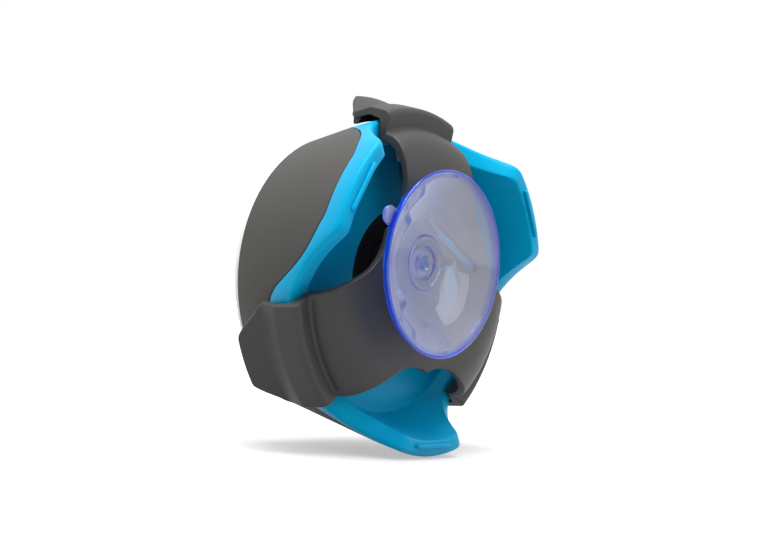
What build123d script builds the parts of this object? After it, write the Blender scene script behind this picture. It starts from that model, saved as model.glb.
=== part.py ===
from build123d import *
import math
import os

# Reaction-training light pod, clipped in a three-arm cradle on a suction cup.
# The design is drawn about the pod's own axis, then stood up on a wall:
#   drawing frame   +Z along the pod axis towards the wall, origin on the tray's rim plane
#   part frame      +Y towards the wall, +Z up, origin at the centre of the suction cup's rim
# Millimetres throughout.

# ---------------------------------------------------------------- driving dimensions
# Suction cup
cup_radius = 25.5            # sealing rim
cup_depth = 7.4              # rim plane to the flat middle of the cup
cup_rim_wall = 1.1           # wall at the sealing rim
cup_middle_wall = 2.4        # wall at the flat middle
cup_boss_radius = 8.0        # flat middle of the cup
cup_flare = 5.0              # flat middle to where the bell opens
cup_flare_rise = 0.9
cup_flare_back = -1.3        # back face of the bell there
cup_bell_inset = 7.0         # halfway up the bell, in from the sealing rim
cup_bell_rise = 2.9
cup_bell_back_inset = 6.0
cup_bell_back = 1.4
cup_lip_inset = 2.2          # where the bell turns up into the rim
cup_lip_rise = 5.6
cup_lip_back_inset = 1.0
cup_lip_back = 4.7
cup_shoulder = 1.0           # back of the flat middle, past its front
pull_tab_width = 5.0
pull_tab_reach = 3.6         # past the sealing rim
pull_tab_root = 1.6          # length buried in the rim
pull_tab_wall = 1.4
pull_tab_hollow = 2.3        # rim to the open bowl, kept free of the tab
pull_tab_drop = 2.0          # below the rim plane
neck_radius = 3.9
head_radius = 6.2            # mushroom head behind the cradle
head_height = 3.6
head_bevel = 0.8             # at the head's widest edge
head_taper = 0.6
head_crown = 1.0             # height of the rounded end
head_crown_inset = 2.2
cup_offset = 11.1            # stem axis to pod axis, towards the upper lobe

# Cradle
hub_radius = 28.0            # flat middle of the cradle
hub_face = -3.6              # its wall-side face, in the drawing frame
cradle_wall = 2.5
arm_root = 27.5              # pod axis to the arm's bending line
crease_radius = 42.2
crease_level = -13.0
crease_inset = 2.4           # arm narrows from here to the shoulder
shoulder_radius = 46.8
shoulder_level = -12.2
shoulder_round = 1.5         # flat top of the shoulder
shoulder_fall = 1.6
shoulder_inset = 2.5
shoulder_under = 0.4         # underside's corner, in from the shoulder
ridge_radius = 49.4
ridge_level = -19.5
ridge_inset = 2.4
tab_base_radius = 48.0
tab_base_level = -24.4
tab_tip_radius = 51.8
tab_tip_level = -31.6
tab_thickness = 2.0
tab_root = 1.6               # length buried in the arm's end
tab_root_rise = 0.6
tab_heel = 0.4
tab_heel_rise = 0.8
tab_heel_drop = 0.2
tab_corner = 3.2             # length of the tab's bevelled end
tab_bevel = 1.2
tab_tip_bevel = 1.4
hook_level = -26.4           # front end of the arm's side wall
hook_height = 1.8
hook_lead = 1.2              # slope that lets the pod back in
hook_inset = 0.6
arm_wall = 2.2               # side wall of an arm
arm_waist = 15.5             # half widths
arm_shoulder = 15.0
arm_end_narrowing = 0.9
arm_end_reach = 3.0          # arm's outline, past the foot of the tab
arm_tab_narrowing = 0.6
tab_half_width = 8.5
window_inner = 24.1          # pod axis to the scalloped edge of the hub
cusp_height = 1.3
scallop_half_width = 6.4
scallop_points = 6
root_flat = 2.0              # straight side of an arm's root
key_hole_radius = 7.4        # lets the mushroom head through
key_hole_offset = 6.0        # from the pod axis, away from the stem
strap_slot_offset = 12.3
strap_slot_length = 31.0
strap_slot_width = 2.8

# Light pod
rim_radius = 48.6            # outside of the three lobes
rim_inner = 43.8             # inside edge of the lobes' top
rim_round = 1.2
floor_radius = 38.5          # where the lobes rise out of the tray's floor
floor_level = -20.0
floor_middle_level = -16.6
tray_wall = 2.0
petal_share = 1.05           # lobe wall's slope thickness, in tray walls
rim_bevel = 0.5
rim_bevel_drop = 0.4
rim_inside_step = 0.2
floor_heel = 1.0             # half width of the bend from floor to lobe
floor_heel_drop = 0.6
wall_foot_drop = 1.2         # tray's wall, in front of the seam
pad_radius = 20.0            # black charging pad in the tray's floor
pad_dish = 0.5               # pad's middle, below its edge
pad_edge = 1.2
pad_flange = 1.8             # flange behind the tray's floor
pad_flange_gap = 0.4
pad_flange_wall = 1.0
notch_level = -16.2          # tray's rim under the cradle's arms
notch_bottom_half = 14.5
notch_corner_half = 17.5
notch_corner_level = -15.2
notch_flank_half = 22.2
notch_flank_level = -12.0
notch_middle_half = 26.6
notch_middle_level = -7.2
notch_shoulder_half = 30.2
notch_shoulder_level = -2.6
notch_top_half = 31.8
notch_top_level = -0.9
notch_exit_half = 34.4
notch_exit_level = 0.4
seam_lobe_level = -7.0       # seam between shell and tray, at the lobes
seam_arm_level = -22.0       # and at the arms
seam_bottom_half = 17.0
seam_top_half = 38.0
shell_waist = 44.1           # shell's outside at the arms' seam level
shell_lobe = 47.3            # and at the lobes' seam level
shell_front_radius = 39.6
shell_front_level = -41.5
shell_wall = 2.0
shell_lip_start = 0.3        # lip's front corner, in from the shell's edge
shell_lip_root = 0.2
grip_rib_radius = 45.2       # raised rib on each lobe
grip_rib_length = 15.2
grip_rib_width = 1.3
grip_rib_height = 1.0
dome_radius = 39.1           # white rim standing in front of the shell
dome_edge = 1.7
dome_rise = 4.6
dome_wall = 1.8
dome_flange = 2.4            # flange behind the shell's lip
dome_skirt_wall = 1.6
dome_clip = 1.2              # rib that holds the dome behind the lip
dome_clip_height = 0.7
dome_steps = 8
seal_gap = 0.15
seal_width = 0.95
seal_height = 0.9
shell_lip = 2.2
board_radius = 31.5
board_thickness = 1.6
board_level = -28.0          # the board's back face
post_radius = 2.9
post_drop = 6.0              # case post, in front of the board's back
post_gap = 1.6               # case post's end to the tray's underside
post_web = 1.6
post_bore = 4.6              # depth of a board post's screw hole
post_root = 0.6              # length buried in the floor
board_post_circle = 29.2
case_post_circle = 34.9
screw_radius = 1.0
screw_head_radius = 1.9
screw_recess = 1.2
screw_recess_gap = 0.1
case_screw_head = 1.1
case_screw_reach = 2.0       # past the board's back
board_screw_head = 1.3
board_screw_reach = 4.0
driver_slot_width = 0.6
driver_slot_length = 2.6
driver_slot_box = 1.0
led_count = 8
led_circle = 23.0
led_size = 3.5
led_height = 1.4
pin_radius = 0.9
pin_places = (-6.0, -2.0, 2.0, 6.0)
pin_row = 3.2                # past the battery's side
pin_drop = 0.3               # below the pad's face
module_gap = 1.6
module_length = 8.0
module_width = 13.0
module_height = 2.2
sensor_size = 4.0
sensor_height = 1.2
battery_length = 36.0
battery_width = 24.0
battery_height = 5.0
battery_round = 1.2
battery_foam = 0.8
foam_inset_long = 6.0
foam_inset_wide = 4.0
battery_tab_reach = 2.4
battery_tab_width = 3.0
battery_tab_wall = 0.3
battery_tab_place = 5.0
reflector_wall = 1.2
reflector_edge = 1.4
reflector_gap = 2.0          # to the dome's skirt
reflector_knee = 2.6         # straight part in front of the board
led_clear_share = 0.75       # reflector's inside edge past the LED circle, in LED sizes

# Fits
clip_clearance = 0.35        # arm to pod
head_clearance = 0.3         # mushroom head to the cradle's inside
arm_top_clearance = 0.5      # arm's underside to the tray's rim
neck_clearance = 0.3         # neck in the keyhole's narrow end
pocket_clearance = 0.15      # pieces that drop into a recess
screw_clearance = 0.2        # shank in a plain hole

# ---------------------------------------------------------------- places
ARM_ANGLES = {"top": -90.0, "left": 30.0, "right": 150.0}
LOBE_ANGLES = (90.0, -30.0, 210.0)
KEY_ANGLE = -25.0            # the keyhole's line; the stem's end points to the upper left lobe
FAR = 120.0                  # past every piece
OVER = 1.0                   # cutters reach this far past what they cut

key_x = math.cos(math.radians(KEY_ANGLE))
key_y = math.sin(math.radians(KEY_ANGLE))
stem_x = cup_offset * key_x
stem_y = cup_offset * key_y
cup_back = -cup_middle_wall                                # cup's middle, back face
rim_plane = cup_depth                                      # cup's rim, in the drawing frame
neck_end = hub_face - cradle_wall - head_clearance

seat = Plane(
    origin=(-stem_x, -rim_plane, stem_y),
    x_dir=(1, 0, 0),
    z_dir=(0, 1, 0),
).location

parts = {}


def keep(name, shape):
    """Stand a drawn piece up in the part frame and file it under its name."""
    parts[name] = seat * shape


def turned(points):
    """Solid of revolution about the pod axis from (radius, level) points."""
    with BuildPart() as piece:
        with BuildSketch(Plane.XZ):
            with BuildLine():
                Polyline(*points, close=True)
            make_face()
        revolve(axis=Axis.Z)
    return piece.part


def disc(radius, low, high, at=(0.0, 0.0)):
    """Plain round solid between two levels."""
    middle = (at[0], at[1], (low + high) / 2)
    return Pos(*middle) * Cylinder(radius, high - low)


def around(angle, radius):
    """Point on a circle about the pod axis."""
    return (radius * math.cos(math.radians(angle)), radius * math.sin(math.radians(angle)))


def prism(outline, low, high):
    """Outline seen along the pod axis, as a solid between two levels."""
    with BuildPart() as piece:
        with BuildSketch(Plane.XY.offset(low)):
            with BuildLine():
                Polyline(*outline, close=True)
            make_face()
        extrude(amount=high - low)
    return piece.part


def radial_cutter(points, angle, drop=0.0):
    """Outline of (sideways, level) points, run outwards from the pod axis."""
    shifted = [(side, level - drop) for side, level in points]
    with BuildPart() as piece:
        with BuildSketch(Plane.YZ):
            with BuildLine():
                Polyline(*shifted, close=True)
            make_face()
        extrude(amount=FAR)
    return Rot(0, 0, angle) * piece.part


def smooth_flank(low_side, low_level, high_side, high_level, steps=7):
    """Points of an S-shaped flank from a flat bottom to a flat top."""
    flank = []
    for step in range(steps + 1):
        share = step / steps
        ease = (1 - math.cos(math.pi * share)) / 2
        side = low_side + (high_side - low_side) * share
        flank.append((side, low_level + (high_level - low_level) * ease))
    return flank


def arch(low_side, low_level, high_side, high_level, top):
    """Closed outline of a valley with two S-shaped flanks."""
    right = smooth_flank(low_side, low_level, high_side, high_level)
    left = [(-side, level) for side, level in reversed(right)]
    return [(-high_side, top)] + left + right + [(high_side, top)]


# ---------------------------------------------------------------- suction cup
def make_cup():
    middle = (stem_x, stem_y)
    shift = Pos(stem_x, stem_y, 0)
    skirt = shift * turned([
        (0, 0),
        (cup_boss_radius, 0),
        (cup_boss_radius + cup_flare, cup_flare_rise),
        (cup_radius - cup_bell_inset, cup_bell_rise),
        (cup_radius - cup_lip_inset, cup_lip_rise),
        (cup_radius - cup_rim_wall, rim_plane),
        (cup_radius, rim_plane),
        (cup_radius - cup_lip_back_inset, cup_lip_back),
        (cup_radius - cup_bell_back_inset, cup_bell_back),
        (cup_boss_radius + cup_flare, cup_flare_back),
        (cup_boss_radius + cup_shoulder, cup_back),
        (0, cup_back),
    ])
    tab_middle = cup_radius - pull_tab_root + pull_tab_reach / 2
    tab = Box(pull_tab_reach + pull_tab_root, pull_tab_width, pull_tab_wall)
    tab = Pos(tab_middle, 0, rim_plane - pull_tab_drop) * tab
    hollow = disc(cup_radius - pull_tab_hollow, rim_plane - 2 * pull_tab_drop, rim_plane + OVER)
    skirt = skirt + shift * Rot(0, 0, KEY_ANGLE) * (tab - hollow)
    keep("cup_skirt", skirt)
    keep("cup_neck", disc(neck_radius, neck_end, cup_back, middle))
    head = shift * turned([
        (0, neck_end),
        (head_radius - head_bevel, neck_end),
        (head_radius, neck_end - head_bevel),
        (head_radius - head_taper, neck_end - head_height + head_crown),
        (head_radius - head_crown_inset, neck_end - head_height),
        (0, neck_end - head_height),
    ])
    keep("cup_head", head)


# ---------------------------------------------------------------- cradle
def dome_line(depth, steps=6):
    """The cradle's rounded brow from the flat middle to the crease, depth below its outside."""
    line = []
    for step in range(steps + 1):
        turn = math.pi / 2 * step / steps
        radius = hub_radius + (crease_radius - hub_radius - depth) * math.sin(turn)
        level = hub_face - depth - (hub_face - crease_level) * (1 - math.cos(turn))
        line.append((radius, level))
    return line


def cradle_body():
    """The cradle's formed sheet: hub, arms, side walls and hooks, as one turned shape."""
    hook_radius = shell_outside(hook_level + hook_height) + clip_clearance
    under_crease = notch_level + arm_top_clearance
    outside = [(0, hub_face)] + dome_line(0.0)
    wall = [
        (shoulder_radius, shoulder_level),
        (shoulder_radius + shoulder_round, shoulder_level - shoulder_fall),
        (ridge_radius, ridge_level),
        (tab_base_radius, tab_base_level),
        (tab_base_radius - hook_inset, hook_level),
        (hook_radius, hook_level),
        (hook_radius, hook_level + hook_height),
        (tab_base_radius - arm_wall, hook_level + hook_height + hook_lead),
        (ridge_radius - arm_wall, ridge_level),
        (shoulder_radius - shoulder_under, under_crease),
    ]
    inside = list(reversed(dome_line(cradle_wall))) + [(0, hub_face - cradle_wall)]
    return turned(outside + wall + inside)


def shell_outside(level):
    """Radius of the pod's outside at a level in front of the arms' seam."""
    share = (level - seam_arm_level) / (shell_front_level - seam_arm_level)
    return shell_waist + share * (shell_front_radius - shell_waist)


def release_tab():
    """Flared tab at an arm's end, drawn along +X."""
    lean = math.atan2(tab_base_level - tab_tip_level, tab_tip_radius - tab_base_radius)
    away = (tab_thickness * math.sin(lean), tab_thickness * math.cos(lean))
    with BuildPart() as tab:
        with BuildSketch(Plane.XZ):
            with BuildLine():
                Polyline(
                    (tab_base_radius - tab_root, tab_base_level + tab_root_rise),
                    (tab_base_radius - tab_heel, tab_base_level + tab_heel_rise),
                    (tab_tip_radius, tab_tip_level),
                    (tab_tip_radius - away[0], tab_tip_level - away[1]),
                    (tab_base_radius - tab_root, tab_base_level - away[1] - tab_heel_drop),
                    close=True,
                )
            make_face()
        extrude(amount=arm_shoulder, both=True)
    edge = [
        (tab_base_radius - 2 * OVER, arm_shoulder - arm_tab_narrowing),
        (tab_tip_radius - tab_corner, tab_half_width + tab_bevel),
        (tab_tip_radius + OVER / 2, tab_half_width - tab_tip_bevel),
    ]
    outline = edge + [(out, -half) for out, half in reversed(edge)]
    plan = prism(outline, tab_tip_level - 3 * tab_thickness, tab_base_level + 2 * tab_thickness)
    return tab.part & plan


def arm_block():
    """Everything outside the bending line that belongs to one arm, drawn along +X."""
    edge = [
        (arm_root, arm_waist),
        (crease_radius - crease_inset, arm_waist),
        (shoulder_radius - shoulder_inset, arm_shoulder),
        (ridge_radius - ridge_inset, arm_shoulder),
        (tab_base_radius + arm_end_reach, arm_shoulder - arm_end_narrowing),
    ]
    outline = edge + [(out, -half) for out, half in reversed(edge)]
    return prism(outline, hook_level - OVER, hub_face + OVER)


def hub_block():
    """Plan of the hub: the flat middle and the three arm roots with scalloped windows between."""
    outline = []
    for angle in sorted(ARM_ANGLES.values()):
        corner = arm_root - root_flat
        for out, half in ((corner, -1), (arm_root, -1), (arm_root, 1), (corner, 1)):
            outline.append(rotate_point(out, half * arm_waist, angle))
        outline += scallops(angle + 60.0)
    return prism(outline, crease_level, hub_face + OVER)


def scallops(angle):
    """Window edge across one lobe: two shallow scallops that meet in a cusp."""
    edge = []
    for side in (-1, 1):
        for step in range(1, scallop_points + 1):
            share = step / (scallop_points + 1)
            share = share if side > 0 else 1 - share
            across = side * share * 2 * scallop_half_width
            out = window_inner + cusp_height * (2 * share - 1) ** 2
            edge.append(rotate_point(out, across, angle))
        if side < 0:
            edge.append(rotate_point(window_inner + cusp_height, 0, angle))
    return edge


def rotate_point(out, across, angle):
    """Drawing-frame point of an (outwards, sideways) pair on a direction."""
    c = math.cos(math.radians(angle))
    s = math.sin(math.radians(angle))
    return (out * c - across * s, out * s + across * c)


def make_cradle():
    body = cradle_body()
    hub = body & hub_block()
    along = Rot(0, 0, KEY_ANGLE)
    through = cradle_wall * 4
    slot_half = neck_radius + neck_clearance
    narrow = disc(slot_half, hub_face - through, hub_face + OVER, (cup_offset, 0))
    passage = Pos((cup_offset - key_hole_offset) / 2, 0, hub_face)
    passage = passage * Box(cup_offset + key_hole_offset, 2 * slot_half, 2 * through)
    wide = disc(key_hole_radius, hub_face - through, hub_face + OVER, (-key_hole_offset, 0))
    hub = hub - along * (narrow + passage + wide)
    for side in (-1, 1):
        slot = Box(strap_slot_length, strap_slot_width, 2 * through)
        hub = hub - along * (Pos(0, side * strap_slot_offset, hub_face) * slot)
    keep("cradle_hub", hub)
    for side, angle in ARM_ANGLES.items():
        turn = Rot(0, 0, angle)
        arm = (body & turn * arm_block()) + turn * release_tab()
        keep("cradle_arm_" + side, arm)


# ---------------------------------------------------------------- light pod: outer pieces
def outer_skin(inset=0.0):
    """(radius, level) points up the pod's outside, shifted inwards by inset."""
    return [
        (shell_front_radius - inset, shell_front_level),
        (shell_waist - inset, seam_arm_level),
        (shell_lobe - inset, seam_lobe_level),
        (rim_radius - inset, -rim_round),
    ]


def seam_region():
    """Space on the tray's side of the wavy seam."""
    region = disc(FAR, seam_lobe_level, FAR)
    valley = arch(seam_bottom_half, seam_arm_level, seam_top_half, seam_lobe_level, seam_lobe_level + 5.0)
    for angle in ARM_ANGLES.values():
        region = region + radial_cutter(valley, angle)
    return region


def skin_strip():
    """Wall of the pod's outside from its front edge to just under the rim."""
    outside = outer_skin()
    inside = outer_skin(shell_wall)
    return turned(outside + list(reversed(inside)))


def make_shell(region):
    wall = skin_strip() - region
    lip = turned([
        (shell_front_radius - shell_lip_start, shell_front_level),
        (shell_front_radius + shell_lip_root, shell_front_level + shell_lip),
        (dome_radius - dome_flange, shell_front_level + shell_lip),
        (dome_radius - dome_flange, shell_front_level),
    ])
    shell = wall + lip
    post_low = board_level - post_drop
    post_high = tray_underside(case_post_circle) - post_gap
    for angle in ARM_ANGLES.values():
        post = disc(post_radius, post_low, post_high, (case_post_circle, 0))
        web_length = shell_outside(board_level) - shell_wall / 2 - case_post_circle
        web = Box(web_length, post_web, post_high - post_low)
        web = Pos(case_post_circle + web_length / 2, 0, (post_high + post_low) / 2) * web
        hole = disc(screw_radius, post_low - OVER, post_high + OVER, (case_post_circle, 0))
        shell = shell + Rot(0, 0, angle) * (post + web)
        shell = shell - Rot(0, 0, angle) * hole
    keep("upper_shell", shell)


def tray_floor(radius):
    """Level of the tray floor's wall-side face at a radius."""
    share = (radius - pad_radius) / (floor_radius - pad_radius)
    return floor_middle_level + share * (floor_level - floor_middle_level)


def tray_underside(radius):
    return tray_floor(radius) - tray_wall


def notch_outline():
    """Valley in the tray's rim under one arm, as (sideways, level) points."""
    right = [
        (notch_bottom_half, notch_level),
        (notch_corner_half, notch_corner_level),
        (notch_flank_half, notch_flank_level),
        (notch_middle_half, notch_middle_level),
        (notch_shoulder_half, notch_shoulder_level),
        (notch_top_half, notch_top_level),
        (notch_exit_half, notch_exit_level),
        (notch_exit_half, 6 * OVER),
    ]
    left = [(-side, level) for side, level in reversed(right)]
    return left + right


def make_tray(region):
    petal_back = tray_wall * petal_share
    full = turned([
        (pad_radius, floor_middle_level),
        (floor_radius, floor_level),
        (rim_inner, -rim_bevel_drop),
        (rim_inner + rim_bevel, 0),
        (rim_radius - rim_round, 0),
        (rim_radius, -rim_round),
        (shell_lobe, seam_lobe_level),
        (shell_waist, seam_arm_level),
        (shell_waist - shell_wall, seam_arm_level - wall_foot_drop),
        (floor_radius + floor_heel, floor_level - tray_wall - floor_heel_drop),
        (floor_radius - floor_heel, floor_level - tray_wall),
        (pad_radius, floor_middle_level - tray_wall),
    ])
    void = turned([
        (floor_radius + petal_back, floor_level - floor_heel_drop),
        (rim_inner + petal_back - rim_inside_step, -tray_wall),
        (rim_radius - shell_wall - rim_inside_step, -tray_wall),
        (shell_lobe - shell_wall, seam_lobe_level),
        (shell_waist - shell_wall, seam_arm_level),
        (shell_waist - shell_wall, floor_level - 2 * tray_wall),
        (floor_radius + petal_back, floor_level - 2 * tray_wall),
    ])
    notch = notch_outline()
    tray = full - skin_outside_seam(region)
    for angle in ARM_ANGLES.values():
        void = void - radial_cutter(notch, angle, drop=tray_wall)
    tray = tray - void
    for angle in ARM_ANGLES.values():
        tray = tray - radial_cutter(notch, angle)
    for angle in LOBE_ANGLES:
        rib = Box(grip_rib_width, grip_rib_length, 2 * grip_rib_height)
        tray = tray + Rot(0, 0, angle) * (Pos(grip_rib_radius, 0, 0) * rib)
        post_top = tray_underside(board_post_circle) + post_root
        post = disc(post_radius, board_level, post_top, (board_post_circle, 0))
        hole = disc(screw_radius, board_level - OVER, board_level + post_bore, (board_post_circle, 0))
        tray = tray + Rot(0, 0, angle) * post
        tray = tray - Rot(0, 0, angle) * hole
    for angle in ARM_ANGLES.values():
        hole = disc(screw_radius + screw_clearance, shell_front_level, 0, (case_post_circle, 0))
        top = tray_floor(case_post_circle + screw_head_radius)
        sink = disc(screw_head_radius + screw_clearance, top - screw_recess, 0, (case_post_circle, 0))
        collar_top = tray_floor(case_post_circle) - post_root
        collar_low = tray_underside(case_post_circle) - post_gap
        collar = disc(post_radius, collar_low, collar_top, (case_post_circle, 0))
        tray = tray + Rot(0, 0, angle) * collar
        tray = tray - Rot(0, 0, angle) * (hole + sink)
    keep("tray_base", tray)


def skin_outside_seam(region):
    """The part of the outer wall that belongs to the shell, with room for the tray's edge."""
    strip = turned([
        (shell_front_radius - shell_wall, shell_front_level),
        (shell_waist - shell_wall, seam_arm_level),
        (shell_lobe - shell_wall, seam_lobe_level),
        (FAR, seam_lobe_level),
        (FAR, shell_front_level),
    ])
    return strip - region


def make_dome():
    front = shell_front_level - dome_edge
    lip_back = shell_front_level + shell_lip
    lip_radius = dome_radius - dome_flange - pocket_clearance
    lip_inside = lip_radius - dome_skirt_wall
    clip_back = lip_back + seal_height + dome_clip_height
    outside = []
    inside = []
    for step in range(dome_steps + 1):
        share = step / dome_steps
        sag = dome_rise * (1 - (1 - share) ** 2)
        outside.append((dome_radius * (1 - share), front - sag))
        inside.append((lip_inside * (1 - share), front + dome_wall - sag))
    points = outside + list(reversed(inside))
    points += [
        (lip_inside, clip_back),
        (lip_radius + dome_clip, clip_back),
        (lip_radius + dome_clip, lip_back + seal_height),
        (lip_radius, lip_back + seal_height),
        (lip_radius, shell_front_level),
        (dome_radius, shell_front_level),
    ]
    keep("dome_diffuser", turned(points))
    seal = turned([
        (lip_radius + seal_gap, lip_back),
        (lip_radius + seal_gap + seal_width, lip_back),
        (lip_radius + seal_gap + seal_width, lip_back + seal_height),
        (lip_radius + seal_gap, lip_back + seal_height),
    ])
    keep("dome_seal", seal)


# ---------------------------------------------------------------- light pod: inside
def make_pad_and_pins():
    face = floor_middle_level
    flange = pad_radius + pad_flange
    flange_back = face - tray_wall - pad_flange_gap
    flange_front = flange_back - pad_flange_wall
    pad = turned([
        (0, face - pad_dish),
        (pad_radius - pad_edge, face - pad_dish),
        (pad_radius - pocket_clearance, face),
        (pad_radius - pocket_clearance, face - tray_wall),
        (flange, flange_back),
        (flange, flange_front),
        (0, flange_front),
    ])
    pins = []
    for side in (-1, 1):
        for place in pin_places:
            spot = (place, side * (battery_width / 2 + pin_row))
            pins.append(disc(pin_radius, board_level, face - pin_drop, spot))
            pad = pad - disc(pin_radius, board_level, face, spot)
    keep("contact_pad", pad)
    keep("charge_pins", Compound(pins))


def make_board():
    front = board_level - board_thickness
    board = disc(board_radius, front, board_level)
    screws = []
    for angle in LOBE_ANGLES:
        spot = around(angle, board_post_circle)
        board = board - disc(screw_radius + screw_clearance, front - OVER, board_level + OVER, spot)
        shank = disc(screw_radius, front, board_level + board_screw_reach, spot)
        head_end = front - board_screw_head
        head = disc(screw_head_radius, head_end, front, spot)
        slot = Pos(spot[0], spot[1], head_end) * driver_slot()
        screws.append(shank + head - slot)
    keep("circuit_board", board)
    keep("board_screws", Compound(screws))
    leds = []
    for index in range(led_count):
        spot = around(index * 360.0 / led_count, led_circle)
        led = Box(led_size, led_size, led_height)
        leds.append(Pos(spot[0], spot[1], front - led_height / 2) * led)
    keep("led_ring", Compound(leds))
    module_place = battery_length / 2 + module_gap + module_length / 2
    module = Box(module_length, module_width, module_height)
    keep("radio_module", Pos(module_place, 0, board_level + module_height / 2) * module)
    sensor = Box(sensor_size, sensor_size, sensor_height)
    keep("tap_sensor", Pos(0, 0, front - sensor_height / 2) * sensor)


def driver_slot():
    """Slot that a screwdriver fits, cut half its height into a screw's head."""
    return Box(driver_slot_width, driver_slot_length, driver_slot_box)


def make_case_screws():
    screws = []
    for angle in ARM_ANGLES.values():
        top = tray_floor(case_post_circle + screw_head_radius) - screw_recess_gap
        neck = top - case_screw_head
        head = disc(screw_head_radius, neck, top, (case_post_circle, 0))
        shank = disc(screw_radius, board_level - case_screw_reach, neck, (case_post_circle, 0))
        slot = Pos(case_post_circle, 0, top) * driver_slot()
        screws.append(Rot(0, 0, angle) * (head + shank - slot))
    keep("case_screws", Compound(screws))


def make_battery():
    foam = Box(battery_length - foam_inset_long, battery_width - foam_inset_wide, battery_foam)
    keep("battery_foam", Pos(0, 0, board_level + battery_foam / 2) * foam)
    middle = board_level + battery_foam + battery_height / 2
    cell = Pos(0, 0, middle) * Box(battery_length, battery_width, battery_height)
    keep("battery_cell", fillet(cell.edges().filter_by(Axis.Y), battery_round))
    tabs = []
    stub = Box(battery_tab_reach, battery_tab_width, battery_tab_wall)
    stub_place = -(battery_length + battery_tab_reach) / 2
    leg_place = stub_place - (battery_tab_reach - battery_tab_wall) / 2
    leg_high = middle + battery_tab_wall / 2
    leg = Box(battery_tab_wall, battery_tab_width, leg_high - board_level)
    for side in (-1, 1):
        across = side * battery_tab_place
        tab = Pos(stub_place, across, middle) * stub
        tabs.append(tab + Pos(leg_place, across, (board_level + leg_high) / 2) * leg)
    keep("battery_tabs", Compound(tabs))


def make_reflector():
    back = board_level - board_thickness
    front = shell_front_level + shell_lip + seal_height + dome_clip_height
    outer = dome_radius - dome_flange - pocket_clearance - reflector_gap
    inner = led_circle + led_size * led_clear_share
    knee = back - reflector_knee
    keep("reflector_ring", turned([
        (inner, back),
        (inner + reflector_wall, back),
        (inner + reflector_wall, knee),
        (outer, front),
        (outer - reflector_edge, front),
        (inner, knee),
    ]))


def main():
    os.makedirs("parts", exist_ok=True)
    region = seam_region()
    make_cup()
    make_cradle()
    make_shell(region)
    make_tray(region)
    make_dome()
    make_pad_and_pins()
    make_board()
    make_case_screws()
    make_battery()
    make_reflector()
    for name, shape in parts.items():
        export_step(shape, "parts/" + name + ".step")


main()
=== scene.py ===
import math

import bmesh
import bpy
from mathutils import Matrix, Vector
from mathutils.geometry import delaunay_2d_cdt


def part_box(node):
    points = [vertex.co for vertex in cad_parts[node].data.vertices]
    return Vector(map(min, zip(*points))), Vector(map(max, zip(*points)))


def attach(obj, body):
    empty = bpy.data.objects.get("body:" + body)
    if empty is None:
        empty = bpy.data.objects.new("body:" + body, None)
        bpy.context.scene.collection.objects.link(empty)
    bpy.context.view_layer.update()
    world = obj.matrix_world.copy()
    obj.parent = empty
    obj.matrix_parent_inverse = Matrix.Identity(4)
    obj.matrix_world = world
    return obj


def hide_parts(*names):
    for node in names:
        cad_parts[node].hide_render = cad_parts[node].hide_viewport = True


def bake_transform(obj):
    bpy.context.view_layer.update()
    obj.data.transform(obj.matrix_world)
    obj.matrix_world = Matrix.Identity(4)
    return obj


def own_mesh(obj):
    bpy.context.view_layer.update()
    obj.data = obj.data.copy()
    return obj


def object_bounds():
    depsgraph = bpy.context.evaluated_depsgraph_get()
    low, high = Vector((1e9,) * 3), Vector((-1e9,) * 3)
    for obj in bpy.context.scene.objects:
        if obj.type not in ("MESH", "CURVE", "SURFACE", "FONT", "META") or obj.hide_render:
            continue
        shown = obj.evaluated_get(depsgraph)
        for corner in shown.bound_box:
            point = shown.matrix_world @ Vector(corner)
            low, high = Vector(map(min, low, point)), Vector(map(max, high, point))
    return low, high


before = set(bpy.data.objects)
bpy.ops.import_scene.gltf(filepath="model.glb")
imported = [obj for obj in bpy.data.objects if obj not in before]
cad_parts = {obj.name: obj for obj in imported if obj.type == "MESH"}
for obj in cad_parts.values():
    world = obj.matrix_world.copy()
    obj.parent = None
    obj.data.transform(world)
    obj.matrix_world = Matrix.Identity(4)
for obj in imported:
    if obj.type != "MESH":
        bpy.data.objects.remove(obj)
cad_low, cad_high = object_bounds()

# Reaction-training light pod in its three-arm cradle, on a suction cup.
# Pieces are drawn in millimetres about the pod's own axis, with the level 0 on the tray's rim
# and levels rising towards the wall, and STAND then puts them in the object's frame in metres.
# A profile is a list of corners: two measures, the radius that rounds the corner, and the
# number of steps in its arc.

MM = 0.001

# ---------------------------------------------------------------- sizes, millimetres
PAD_RADIUS = 20.0
PAD_LEVEL = -16.6            # charging pad, in the tray's floor
PAD_RECESS = 0.5             # the pad's face stands this far below its rim
PAD_GROOVE = (13.0, 14.2)    # shallow ring in the pad's face
FLOOR_RADIUS = 38.5          # where the lobes rise out of the tray's floor
FLOOR_LEVEL = -20.0
RIM_INNER = 43.8             # inner edge of a lobe's top
PETAL_TOP = -0.4
WALL = 2.0
SKIN = (                     # the pod's outside: level and radius
    (-41.5, 39.6), (-22.0, 44.7), (-7.0, 47.3), (-1.2, 48.5), (0.0, 48.6),
)
SHELL_FRONT = -41.5
LIP_DEPTH = 2.2
LIP_RADIUS = 36.7
SEAM_GAP = 0.16              # half the gap between shell and tray
SEAM_LAP = 1.2               # how far the shell's tongue stands behind the tray's edge
TRAY_LAP, SHELL_LAP = 0.75, 0.9
RIB_RADIUS, RIB_LENGTH, RIB_WIDTH, RIB_HEIGHT = 45.2, 15.2, 1.3, 0.98
RIB_FOOT = 0.4               # how far a rib's foot reaches into the rim
SCREW_CIRCLE = 34.9
SCREW_SINK = 2.1

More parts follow.
